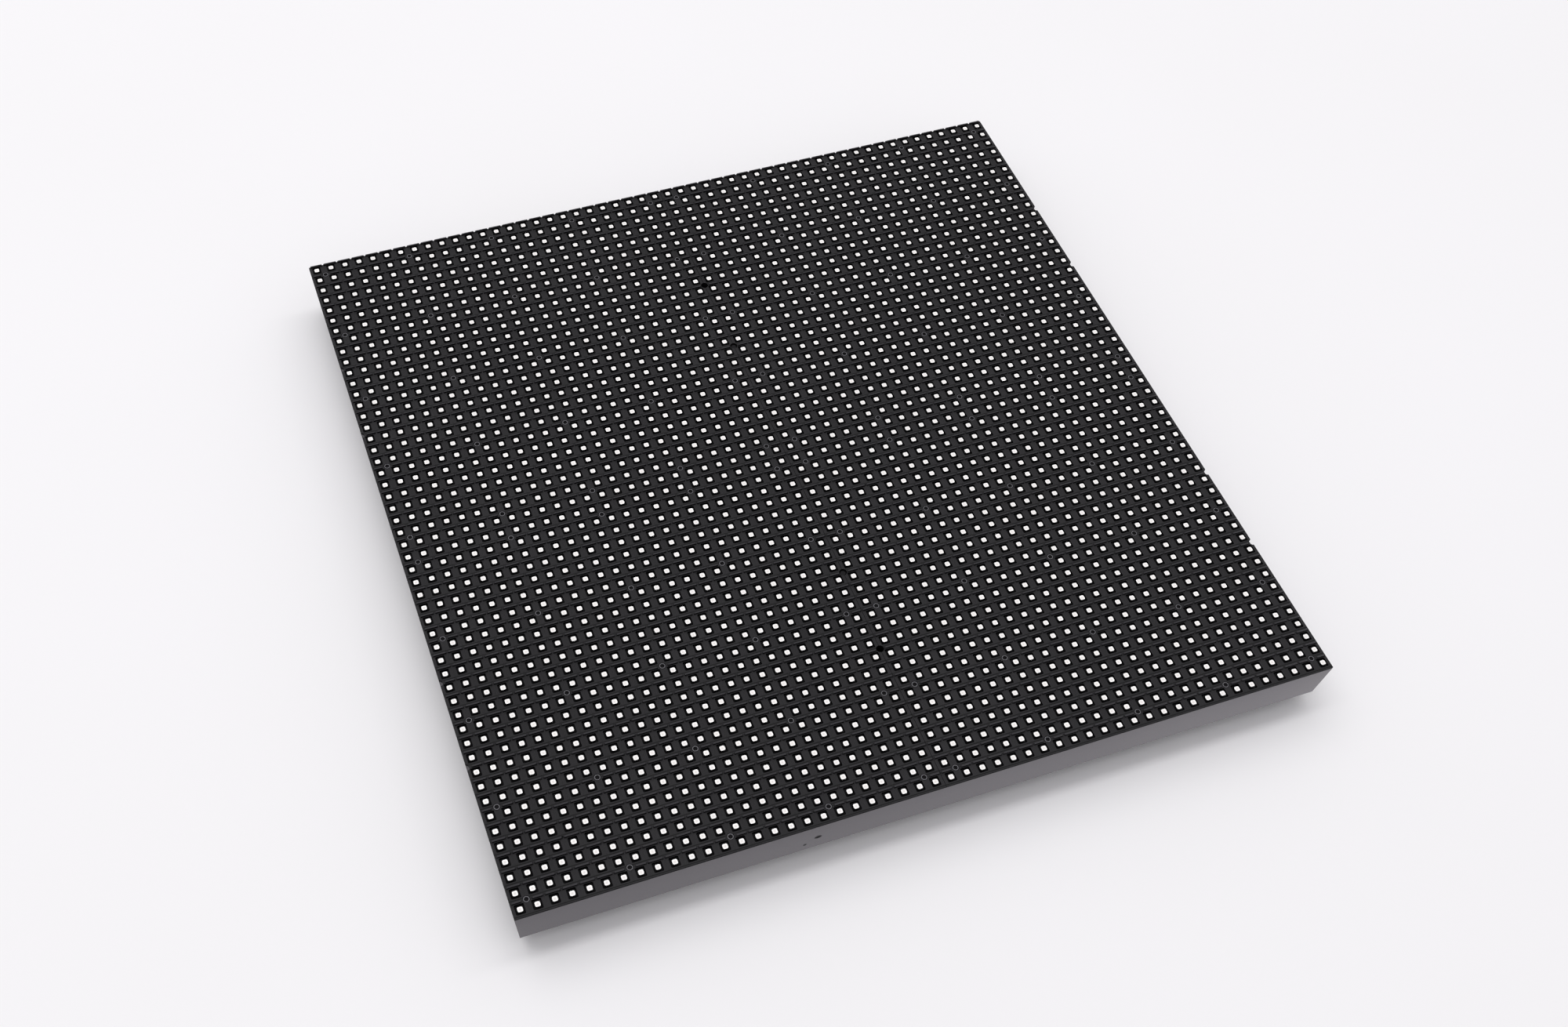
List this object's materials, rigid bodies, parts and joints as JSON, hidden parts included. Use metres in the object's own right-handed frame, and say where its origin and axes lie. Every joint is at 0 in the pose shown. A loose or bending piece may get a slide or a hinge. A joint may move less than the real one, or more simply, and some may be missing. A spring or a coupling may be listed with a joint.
{
  "type": "led display module",
  "caption": "Square outdoor display module: a field of white lamps behind louvred mask halves, on a drafted bottom shell with plug windows, threaded inserts and rear posts.",
  "frame": {"origin": "centre of the module at the tips of its rear posts", "axes": "+Z out of the lamp face, +X along the rows of lamps, +Y along the columns towards the side that the louvres shade"},
  "size_m": [0.2496, 0.2496, 0.0206],
  "materials": {
    "lamps_left": "satin white lamp body with a clear cast face",
    "lamps_right": "satin white lamp body with a clear cast face",
    "mask_left": "matt black moulded plastic",
    "mask_right": "matt black moulded plastic",
    "mask_screws": "black-plated steel",
    "lamp_board": "black solder resist",
    "bottom_shell": "satin dark grey moulded plastic",
    "threaded_inserts": "turned brass",
    "rear_seal": "grey silicone strip",
    "data_in_header": "black moulded plastic",
    "data_out_header": "black moulded plastic",
    "data_in_pins": "gold-plated contact",
    "data_out_pins": "gold-plated contact",
    "power_header": "natural moulded plastic",
    "power_pins": "tin-plated contact",
    "column_drivers": "black moulded package",
    "row_switches": "black moulded package",
    "signal_buffers": "black moulded package",
    "bypass_capacitors": "sintered ceramic",
    "bulk_capacitors": "drawn can",
    "bulk_capacitor_bases": "black moulded base",
    "resistor_arrays": "glazed black film on ceramic"
  },
  "bodies": {
    "root": {"lamps_left": "lamps_left", "lamps_right": "lamps_right", "mask_left": "mask_left", "mask_right": "mask_right", "mask_screws": "mask_screws", "lamp_board": "lamp_board", "bottom_shell": "bottom_shell", "threaded_inserts": "threaded_inserts", "rear_seal": "rear_seal", "data_in_header": "data_in_header", "data_out_header": "data_out_header", "data_in_pins": "data_in_pins", "data_out_pins": "data_out_pins", "power_header": "power_header", "power_pins": "power_pins", "column_drivers": "column_drivers", "row_switches": "row_switches", "signal_buffers": "signal_buffers", "bypass_capacitors": "bypass_capacitors", "bulk_capacitors": "bulk_capacitors", "bulk_capacitor_bases": "bulk_capacitor_bases", "resistor_arrays": "resistor_arrays"}
  },
  "joints": []
}
